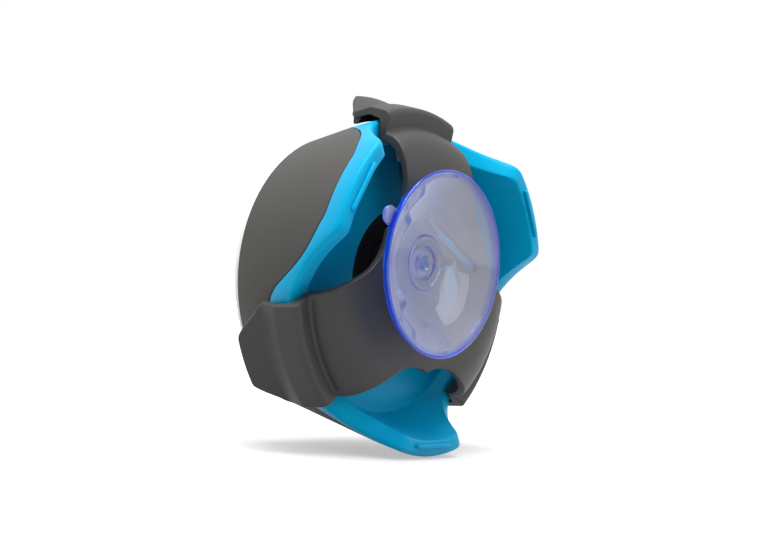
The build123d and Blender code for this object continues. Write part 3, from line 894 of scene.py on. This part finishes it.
def make_cradle():
    """Hub and three clip arms, parted from one sheet."""
    sheet = cradle_sheet()
    for name in (None, *ARMS):
        bm = bmesh.new()
        bm.from_mesh(sheet.data)
        others = [face for face in bm.faces if arm_of(face.calc_center_median()) != name]
        bmesh.ops.delete(bm, geom=others, context="FACES")
        close_cut(bm)
        if name:
            hook_bar(bm, ARMS[name])
        piece = new_piece("cradle_" + (name or "middle"), bm)
        weigh_normals(piece)
        piece.data.materials.append(cradle_plastic())
        if name is None:
            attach(piece, "cradle")
            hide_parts("cradle_hub")
        else:
            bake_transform(piece)
            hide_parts("cradle_arm_" + name)
    bpy.data.objects.remove(sheet)


# ---------------------------------------------------------------- suction cup
def make_suction_cup():
    """Clear flexible cup: thin flared skirt, moulded rings in its middle, and a pull tab."""
    path = rounded(CUP_PROFILE, closed=False)
    bm = bmesh.new()
    turned(bm, path, CUP_MIDDLE, columns=180)
    add_pull_tab(bm)
    cup = new_piece("suction_cup", bm, sharp=60.0)
    cup.data.materials.append(clear_blue())
    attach(cup, "wall_cup")
    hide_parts("cup_skirt")
    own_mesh(cup)


def add_pull_tab(bm):
    """Rounded tongue on the cup's rim for peeling it off."""
    start, end = CUP_RADIUS - 1.4, CUP_RADIUS + PULL_REACH
    level, wide = CUP_RIM - PULL_DROP, PULL_WIDTH / 2
    rows = []
    steps = 12
    for step in range(steps + 1):
        out = start + (end - start) * step / steps
        tip = max(0.0, (out - (end - wide)) / wide)
        half = max(0.12, wide * math.sqrt(max(0.0, 1 - tip**2)))
        thick = PULL_HALF_THICK * (1 - 0.35 * tip**3)
        sides = ((-half, -thick), (half, -thick), (half, thick), (-half, thick))
        row = []
        for across, height in rounded([(*side, 0.45, 3) for side in sides], closed=True):
            x, y = along(KEY_ANGLE, out, across)
            row.append(bm.verts.new((CUP_X + x, CUP_Y + y, level + height)))
        rows.append(row)
    solid_bar(bm, rows)


def make_stem():
    """Neck and mushroom head that hold the cup in the keyhole."""
    gap = 0.05                    # keeps faces of neighbouring pieces apart
    neck = rounded([
        (0, NECK_END, 0, 1),
        (NECK_RADIUS, NECK_END, 0.2, 2),
        (NECK_RADIUS - 0.15, (NECK_END + NECK_START) / 2, 6.0, 4),
        (NECK_RADIUS, NECK_START - gap, 0.2, 2),
        (0, NECK_START - gap, 0, 1),
    ], closed=False)
    head = rounded([
        (0, HEAD_END, 0, 1),
        (HEAD_RADIUS - 2.2, HEAD_END, 1.5, 4),
        (HEAD_RADIUS, (HEAD_END + NECK_END) / 2 - 0.4, 1.6, 5),
        (HEAD_RADIUS - 0.1, NECK_END - gap, 0.6, 4),
        (0, NECK_END - gap, 0, 1),
    ], closed=False)
    for name, path, body, node in (
        ("stem_neck", neck, "cup_stem", "cup_neck"),
        ("stem_head", head, "stem_head", "cup_head"),
    ):
        bm = bmesh.new()
        turned(bm, path, CUP_MIDDLE, columns=96)
        piece = new_piece(name, bm)
        piece.data.materials.append(clear_blue())
        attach(piece, body)
        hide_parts(node)


# ---------------------------------------------------------------- effects shared by materials
def calculate(tree, operation, first, second):
    """Result of a math node on two values, each a number or a socket."""
    node = tree.nodes.new("ShaderNodeMath")
    node.operation = operation
    for socket, value in zip(node.inputs, (first, second)):
        if isinstance(value, float):
            socket.default_value = value
        else:
            tree.links.new(value, socket)
    return node.outputs[0]


def object_place(tree):
    """Socket of a point's place on the object."""
    return tree.nodes.new("ShaderNodeTexCoord").outputs["Object"]


def blend_colors(tree, factor, first, second):
    """Colour between two, each a colour or a socket."""
    node = tree.nodes.new("ShaderNodeMix")
    node.data_type = "RGBA"
    tree.links.new(factor, node.inputs["Factor"])
    for socket, color in ((node.inputs[6], first), (node.inputs[7], second)):
        if isinstance(color, tuple):
            socket.default_value = color
        else:
            tree.links.new(color, socket)
    return node.outputs[2]


def texture(tree, kind, place, scale, **values):
    """Texture node on a place, at a scale, with its own values."""
    node = tree.nodes.new("ShaderNodeTex" + kind)
    tree.links.new(place, node.inputs["Vector"])
    tree.links.new(scale, node.inputs["Scale"])
    for name, value in values.items():
        node.inputs[name].default_value = value
    return node


def shared(name, inputs, outputs, fill):
    """Shader group of an effect, built the first time that a material asks for it."""
    if name not in bpy.data.node_groups:
        group, given, out = node_group(name, "ShaderNodeTree", inputs, outputs)
        scale = calculate(group, "DIVIDE", 1 / MM, given.outputs["Size"])
        fill(group, given.outputs, out.inputs, object_place(group), scale)
    return bpy.data.node_groups[name]


def fill_grain(group, given, out, place, scale):
    """Small cells broken up by noise."""
    cells = texture(group, "Voronoi", place, scale)
    cells.feature = "SMOOTH_F1"
    noise = texture(group, "Noise", place, scale, Detail=3.0)
    both = calculate(group, "MULTIPLY", cells.outputs["Distance"], noise.outputs["Fac"])
    group.links.new(calculate(group, "MULTIPLY", both, given["Depth"]), out["Height"])
    group.links.new(noise.outputs["Fac"], out["Mask"])


def grain_effect():
    """Fine spark-eroded grain of moulded plastic: a height and a mask, sized in millimetres."""
    inputs = [("Size", "NodeSocketFloat", 0.3), ("Depth", "NodeSocketFloat", 0.5)]
    outputs = [("Height", "NodeSocketFloat"), ("Mask", "NodeSocketFloat")]
    return shared("moulded_grain", inputs, outputs, fill_grain)


def fill_drift(group, given, out, place, scale):
    """Soft clouds between two colours."""
    noise = texture(group, "Noise", place, scale, Detail=5.0, Distortion=0.6)
    share = calculate(group, "MULTIPLY", noise.outputs["Fac"], given["Amount"])
    group.links.new(blend_colors(group, share, given["Color"], given["Shade"]), out["Color"])


def drift_effect():
    """Slow change of tone over a moulding."""
    inputs = [
        ("Color", "NodeSocketColor", (0.5, 0.5, 0.5, 1)),
        ("Shade", "NodeSocketColor", (0.4, 0.4, 0.4, 1)),
        ("Amount", "NodeSocketFloat", 0.3),
        ("Size", "NodeSocketFloat", 20.0),
    ]
    return shared("tone_drift", inputs, [("Color", "NodeSocketColor")], fill_drift)


def fill_scuffs(group, given, out, place, scale):
    """Two sets of stretched noise, thinned to lines that cross."""
    layers = []
    for turn, stretch in ((0.6, (9.0, 0.7, 1.0)), (-0.9, (0.8, 8.0, 1.4))):
        lay = group.nodes.new("ShaderNodeMapping")
        lay.inputs["Rotation"].default_value = (turn, turn * 0.7, turn)
        lay.inputs["Scale"].default_value = stretch
        group.links.new(place, lay.inputs["Vector"])
        lines = texture(group, "Noise", lay.outputs[0], scale, Detail=2.0)
        thin = group.nodes.new("ShaderNodeMapRange")
        thin.inputs["From Min"].default_value = 0.66
        thin.inputs["From Max"].default_value = 0.74
        group.links.new(lines.outputs["Fac"], thin.inputs["Value"])
        layers.append(thin.outputs[0])
    both = calculate(group, "MAXIMUM", *layers)
    group.links.new(calculate(group, "MULTIPLY", both, given["Density"]), out["Mask"])


def scuff_effect():
    """Faint handling scratches: a mask of short, thin, crossing lines."""
    inputs = [("Density", "NodeSocketFloat", 0.5), ("Size", "NodeSocketFloat", 6.0)]
    return shared("fine_scuffs", inputs, [("Mask", "NodeSocketFloat")], fill_scuffs)


# ---------------------------------------------------------------- materials
def srgb(red, green, blue):
    """Colour from 0-255 display values."""
    linear = []
    for value in (red, green, blue):
        value /= 255
        linear.append(value / 12.92 if value <= 0.04045 else ((value + 0.055) / 1.055) ** 2.4)
    return (*linear, 1.0)


def blank(name):
    """New material with only a Principled shader on its output."""
    material = bpy.data.materials.new(name)
    material.use_nodes = True
    tree = material.node_tree
    tree.nodes.clear()
    out = tree.nodes.new("ShaderNodeOutputMaterial")
    shader = tree.nodes.new("ShaderNodeBsdfPrincipled")
    tree.links.new(shader.outputs[0], out.inputs["Surface"])
    return material, tree, shader


def use(tree, group, **values):
    """Group node in a material, with its own values."""
    node = tree.nodes.new("ShaderNodeGroup")
    node.node_tree = group
    for name, value in values.items():
        node.inputs[name].default_value = value
    return node


def add_bump(tree, shader, height, strength, distance):
    """Raise the surface by a height, up to a distance in millimetres."""
    bump = tree.nodes.new("ShaderNodeBump")
    bump.inputs["Strength"].default_value = strength
    bump.inputs["Distance"].default_value = distance * MM
    tree.links.new(height, bump.inputs["Height"])
    tree.links.new(bump.outputs[0], shader.inputs["Normal"])


def vary_roughness(tree, shader, mask, low, high):
    """Spread the roughness between two values by a mask."""
    spread = tree.nodes.new("ShaderNodeMapRange")
    spread.inputs["To Min"].default_value = low
    spread.inputs["To Max"].default_value = high
    tree.links.new(mask, spread.inputs["Value"])
    tree.links.new(spread.outputs[0], shader.inputs["Roughness"])


def moulded(name, color, shade, rough, grain, depth, coat=0.0, gloss=0.5):
    """Moulded plastic with grain, slow tone drift and faint scuffs."""
    if name in bpy.data.materials:
        return bpy.data.materials[name]
    material, tree, shader = blank(name)
    tone = use(tree, drift_effect(), Color=color, Shade=shade, Amount=0.5, Size=24.0)
    fine = use(tree, grain_effect(), Size=grain, Depth=1.0)
    lines = use(tree, scuff_effect(), Density=0.25, Size=5.0)
    thin = calculate(tree, "MULTIPLY", lines.outputs["Mask"], 0.4)
    worn = tuple(min(1.0, c * 1.5 + 0.02) for c in color[:3]) + (1.0,)
    surface = blend_colors(tree, thin, tone.outputs["Color"], worn)
    tree.links.new(surface, shader.inputs["Base Color"])
    vary_roughness(tree, shader, fine.outputs["Mask"], *rough)
    add_bump(tree, shader, fine.outputs["Height"], depth, 0.05)
    shader.inputs["Coat Weight"].default_value = coat
    shader.inputs["Coat Roughness"].default_value = 0.2
    shader.inputs["Specular IOR Level"].default_value = gloss
    return material


def blue_plastic():
    """Satin blue of the tray and its ribs."""
    tones = srgb(0, 162, 206), srgb(0, 148, 196)
    material = moulded("blue_moulding", *tones, (0.34, 0.5), 0.22, 0.12, gloss=0.35)
    shader = material.node_tree.nodes["Principled BSDF"]
    shader.inputs["Specular Tint"].default_value = srgb(90, 205, 240)
    return material


def grey_plastic():
    """Matt grey of the shell."""
    tones = srgb(74, 73, 71), srgb(66, 65, 63)
    return moulded("grey_moulding", *tones, (0.6, 0.8), 0.35, 0.5, gloss=0.3)


def cradle_plastic():
    """Satin charcoal of the cradle."""
    tones = srgb(60, 59, 59), srgb(52, 51, 52)
    return moulded("cradle_moulding", *tones, (0.42, 0.58), 0.3, 0.35, gloss=0.3)


def pad_black():
    """Deep black of the charging pad."""
    return moulded("pad_moulding", srgb(4, 4, 5), srgb(2, 2, 3), (0.5, 0.7), 0.3, 0.3, gloss=0.08)


def dome_white():
    """Milky white that lets a little light in."""
    tones = srgb(236, 236, 232), srgb(228, 228, 223)
    material = moulded("milky_dome", *tones, (0.35, 0.5), 0.4, 0.15, coat=0.2)
    shader = material.node_tree.nodes["Principled BSDF"]
    shader.inputs["Subsurface Weight"].default_value = 0.15
    shader.inputs["Subsurface Scale"].default_value = 2.0 * MM
    return material


def ramp(tree, value, low, high, start=0.0, end=1.0):
    """Smooth step of a value between two of its levels."""
    node = tree.nodes.new("ShaderNodeMapRange")
    node.interpolation_type = "SMOOTHSTEP"
    node.inputs["From Min"].default_value = low
    node.inputs["From Max"].default_value = high
    node.inputs["To Min"].default_value = start
    node.inputs["To Max"].default_value = end
    tree.links.new(value, node.inputs["Value"])
    return node.outputs[0]


def band(tree, value, start, full, fade, end):
    """1 from full to fade and 0 outside start and end, all in millimetres, with smooth sides."""
    rise = ramp(tree, value, start * MM, full * MM)
    fall = ramp(tree, value, fade * MM, end * MM, 1.0, 0.0)
    return calculate(tree, "MULTIPLY", rise, fall)


def clear_blue():
    """Clear flexible vinyl, lightly milky, that gathers a deep blue at its rim; one side is
    painted bluer as a painted reflection, and bluer bands over the moulded rings are painted
    refraction.
    """
    if "clear_vinyl" in bpy.data.materials:
        return bpy.data.materials["clear_vinyl"]
    material, tree, shader = blank("clear_vinyl")
    nodes, links = tree.nodes, tree.links
    where = object_place(tree)
    flat = nodes.new("ShaderNodeVectorMath")
    flat.operation = "MULTIPLY"
    flat.inputs[1].default_value = (1.0, 0.0, 1.0)
    links.new(where, flat.inputs[0])
    away = nodes.new("ShaderNodeVectorMath")
    away.operation = "LENGTH"
    links.new(flat.outputs[0], away.inputs[0])
    from_axis = away.outputs["Value"]
    tint = dict(Amount=0.8, Size=16.0)
    # the pale tone is the vinyl's own; the bluer tone, ramped in across the cup by X, is a painted
    # reflection of the surroundings
    milk = use(tree, drift_effect(), Color=srgb(150, 176, 255), Shade=srgb(190, 200, 250), **tint)
    pale = use(tree, drift_effect(), Color=srgb(226, 228, 240), Shade=srgb(206, 210, 236), **tint)
    sides = nodes.new("ShaderNodeSeparateXYZ")
    links.new(where, sides.inputs[0])
    painted_reflection_share = ramp(tree, sides.outputs["X"], *CUP_PAINTED_REFLECTION_SPAN)
    tone = blend_colors(tree, painted_reflection_share, pale.outputs["Color"], milk.outputs["Color"])
    # bands painted bluer at the moulded rings: painted refraction and highlight, in place of the
    # light that the rings bend
    for middle, half, deep in CUP_RING_PAINTED_REFRACTION:
        ring = band(tree, from_axis, middle - half, middle, middle, middle + half)
        tone = blend_colors(tree, ring, tone, srgb(*deep))
    rim = band(tree, from_axis, *(CUP_RADIUS + step for step in CUP_RIM_BAND))
    color = blend_colors(tree, rim, tone, srgb(10, 70, 250))
    links.new(color, shader.inputs["Base Color"])
    fine = use(tree, grain_effect(), Size=1.6, Depth=1.0)
    vary_roughness(tree, shader, fine.outputs["Mask"], 0.03, 0.12)
    add_bump(tree, shader, fine.outputs["Height"], 0.04, 0.05)
    shader.inputs["Transmission Weight"].default_value = 0.78
    shader.inputs["IOR"].default_value = 1.2
    shader.inputs["Coat Weight"].default_value = 1.0
    shader.inputs["Coat Roughness"].default_value = 0.04
    return material


def board_green():
    """Solder mask over copper traces."""
    material, tree, shader = blank("solder_mask")
    lay = tree.nodes.new("ShaderNodeMapping")
    lay.inputs["Rotation"].default_value = (math.pi / 2, 0, 0)
    tree.links.new(object_place(tree), lay.inputs["Vector"])
    tracks = tree.nodes.new("ShaderNodeTexBrick")
    tracks.inputs["Scale"].default_value = 260.0
    tracks.inputs["Mortar Size"].default_value = 0.06
    tracks.inputs["Color1"].default_value = srgb(10, 78, 44)
    tracks.inputs["Color2"].default_value = srgb(12, 70, 40)
    tracks.inputs["Mortar"].default_value = srgb(34, 122, 66)
    tree.links.new(lay.outputs[0], tracks.inputs["Vector"])
    tree.links.new(tracks.outputs["Color"], shader.inputs["Base Color"])
    fine = use(tree, grain_effect(), Size=0.6, Depth=1.0)
    vary_roughness(tree, shader, fine.outputs["Mask"], 0.25, 0.4)
    add_bump(tree, shader, tracks.outputs["Fac"], 0.4, 0.04)
    return material


def metal(name, color, shade, rough):
    """Bare or plated metal with fine scratches."""
    material, tree, shader = blank(name)
    tone = use(tree, drift_effect(), Color=color, Shade=shade, Amount=0.7, Size=3.0)
    tree.links.new(tone.outputs["Color"], shader.inputs["Base Color"])
    shader.inputs["Metallic"].default_value = 1.0
    scuffs = use(tree, scuff_effect(), Density=0.6, Size=1.5)
    vary_roughness(tree, shader, scuffs.outputs["Mask"], *rough)
    fine = use(tree, grain_effect(), Size=0.15, Depth=1.0)
    add_bump(tree, shader, fine.outputs["Height"], 0.12, 0.03)
    return material


def led_face():
    """Phosphor-yellow window in a white LED package, seen from the front."""
    material, tree, shader = blank("led_window")
    tones = dict(Color=srgb(238, 236, 226), Shade=srgb(226, 214, 140))
    tone = use(tree, drift_effect(), Amount=0.9, Size=1.2, **tones)
    tree.links.new(tone.outputs["Color"], shader.inputs["Base Color"])
    fine = use(tree, grain_effect(), Size=0.2, Depth=1.0)
    vary_roughness(tree, shader, fine.outputs["Mask"], 0.2, 0.4)
    add_bump(tree, shader, fine.outputs["Height"], 0.1, 0.03)
    return material


MOULDED_INSIDE = {            # node: name, two tones, roughness, grain and its depth
    "dome_seal": ("soft_seal", (34, 34, 36), (26, 26, 28), (0.7, 0.85), 0.25, 0.4),
    "tap_sensor": ("chip_case", (24, 24, 26), (18, 18, 20), (0.45, 0.6), 0.15, 0.4),
    "battery_foam": ("grey_foam", (96, 96, 98), (70, 70, 72), (0.9, 1.0), 0.5, 1.0),
    "reflector_ring": ("white_reflector", (232, 232, 230), (222, 222, 220), (0.3, 0.45), 0.3, 0.1),
}
METAL_INSIDE = {              # node: name, two tones and roughness
    "charge_pins": ("gold_plate", (226, 178, 92), (206, 154, 70), (0.18, 0.34)),
    "board_screws": ("plated_steel", (176, 178, 182), (150, 152, 156), (0.25, 0.42)),
    "radio_module": ("tinned_shield", (196, 198, 200), (170, 172, 176), (0.3, 0.48)),
    "battery_cell": ("pouch_foil", (188, 190, 194), (160, 164, 170), (0.32, 0.5)),
    "battery_tabs": ("nickel_strip", (190, 186, 176), (166, 162, 152), (0.25, 0.4)),
}


def paint_inner_pieces():
    """Give each CAD piece that stays its own finish."""
    finishes = {"circuit_board": board_green(), "led_ring": led_face()}
    for node, (name, color, shade, *rest) in MOULDED_INSIDE.items():
        finishes[node] = moulded(name, srgb(*color), srgb(*shade), *rest)
    for node, (name, color, shade, rough) in METAL_INSIDE.items():
        finishes[node] = metal(name, srgb(*color), srgb(*shade), rough)
    finishes["case_screws"] = finishes["board_screws"]
    for node, material in finishes.items():
        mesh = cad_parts[node].data
        mesh.materials.clear()
        mesh.materials.append(material)


# ---------------------------------------------------------------- studio
WHITE = (1.0, 1.0, 1.0, 1.0)
FLOOR_SIZE, FLOOR_DROP = 3.0, 0.0003
FLOOR_GREY = (0.5, 0.5, 0.5, 1.0)
OWN_WHITE = (0.07, 0.28, 0.46, 1.0)     # floor's own light, from under the pod outwards
SKY_LIGHT = (-0.3, 1.0, 0.03, 1.0)      # plain light of the room, from low to high
LAMPS = (                               # name, place, size across and power
    ("top_light", (0.10, 0.04, 0.60), 0.45, 5.4),
    ("side_light", (0.55, -0.25, 0.35), 0.40, 0.15),
    ("wall_side_light", (-0.35, 0.65, 0.20), 0.45, 0.8),
)
CAMERA_PLACE = (0.34693, 0.25358, -0.00887)
CAMERA_AIM = (-0.7825, -0.6226, 0.0077)
CAMERA_ROLL, CAMERA_LENS, SENSOR_WIDTH = 4.61, 75.8, 36.0


def seen_directly(tree):
    """1 for rays that show the background, straight, mirrored or through clear pieces."""
    path = tree.nodes.new("ShaderNodeLightPath")
    shown = path.outputs["Is Camera Ray"]
    for other in ("Is Glossy Ray", "Is Transmission Ray"):
        shown = calculate(tree, "MAXIMUM", shown, path.outputs[other])
    unscattered = calculate(tree, "LESS_THAN", path.outputs["Diffuse Depth"], 0.5)
    return calculate(tree, "MULTIPLY", shown, unscattered)


def make_world():
    """Plain soft light from all round, and white where it is seen."""
    world = bpy.data.worlds.new("studio")
    world.use_nodes = True
    tree = world.node_tree
    nodes, links = tree.nodes, tree.links
    nodes.clear()
    soft, white = (nodes.new("ShaderNodeBackground") for _ in range(2))
    soft.inputs["Color"].default_value = WHITE
    white.inputs["Color"].default_value = WHITE
    white.inputs["Strength"].default_value = 1.0
    height = nodes.new("ShaderNodeSeparateXYZ")
    links.new(nodes.new("ShaderNodeTexCoord").outputs["Generated"], height.inputs[0])
    links.new(ramp(tree, height.outputs["Z"], *SKY_LIGHT), soft.inputs["Strength"])
    pick = nodes.new("ShaderNodeMixShader")
    links.new(seen_directly(tree), pick.inputs[0])
    links.new(soft.outputs[0], pick.inputs[1])
    links.new(white.outputs[0], pick.inputs[2])
    out = nodes.new("ShaderNodeOutputWorld")
    links.new(pick.outputs[0], out.inputs["Surface"])
    bpy.context.scene.world = world


def floor_material():
    """Pale floor that still shows the shadow: part of its white is its own, part is lit."""
    material = bpy.data.materials.new("floor_white")
    material.use_nodes = True
    tree = material.node_tree
    nodes, links = tree.nodes, tree.links
    nodes.clear()
    lit = nodes.new("ShaderNodeBsdfDiffuse")
    lit.inputs["Color"].default_value = FLOOR_GREY
    own = nodes.new("ShaderNodeEmission")
    own.inputs["Color"].default_value = WHITE
    away = nodes.new("ShaderNodeVectorMath")
    away.operation = "LENGTH"
    links.new(object_place(tree), away.inputs[0])
    white = ramp(tree, away.outputs["Value"], *OWN_WHITE)
    strength = calculate(tree, "MULTIPLY", seen_directly(tree), white)
    links.new(strength, own.inputs["Strength"])
    both = nodes.new("ShaderNodeAddShader")
    links.new(lit.outputs[0], both.inputs[0])
    links.new(own.outputs[0], both.inputs[1])
    out = nodes.new("ShaderNodeOutputMaterial")
    links.new(both.outputs[0], out.inputs["Surface"])
    return material


def make_floor():
    """Round floor just under the lowest lobe."""
    bm = bmesh.new()
    bmesh.ops.create_circle(bm, cap_ends=True, segments=96, radius=FLOOR_SIZE)
    floor = link_mesh("floor", bm)
    floor.data.transform(Matrix.Translation((0, 0, cad_low.z - FLOOR_DROP)))
    floor.data.materials.append(floor_material())


def make_lights():
    """Soft lamps aimed at the middle of the pod."""
    for name, place, size, power in LAMPS:
        lamp = bpy.data.lights.new(name, "AREA")
        lamp.shape = "DISK"
        lamp.size = size
        lamp.energy = power
        holder = bpy.data.objects.new(name, lamp)
        holder.location = place
        aim = Vector((pod_x, rim_y, pod_z)) - Vector(place)
        holder.rotation_euler = aim.to_track_quat("-Z", "Y").to_euler()
        bpy.context.scene.collection.objects.link(holder)


def make_camera():
    """Camera behind the pod and to its side, turned a little about its line of sight."""
    camera = bpy.data.cameras.new("camera")
    camera.lens = CAMERA_LENS
    camera.sensor_width = SENSOR_WIDTH
    camera.clip_start = 0.01
    holder = bpy.data.objects.new("camera", camera)
    roll = Matrix.Rotation(math.radians(CAMERA_ROLL), 4, "Z")
    turn = Vector(CAMERA_AIM).to_track_quat("-Z", "Y").to_matrix().to_4x4() @ roll
    holder.matrix_world = Matrix.Translation(CAMERA_PLACE) @ turn
    bpy.context.scene.collection.objects.link(holder)
    bpy.context.scene.camera = holder


bpy.context.scene.view_settings.view_transform = "Standard"
make_camera()
make_world()
make_lights()
make_floor()
make_tray()
make_shell()
make_grip_ribs()
make_dome()
make_pad()
make_cradle()
make_suction_cup()
make_stem()
paint_inner_pieces()
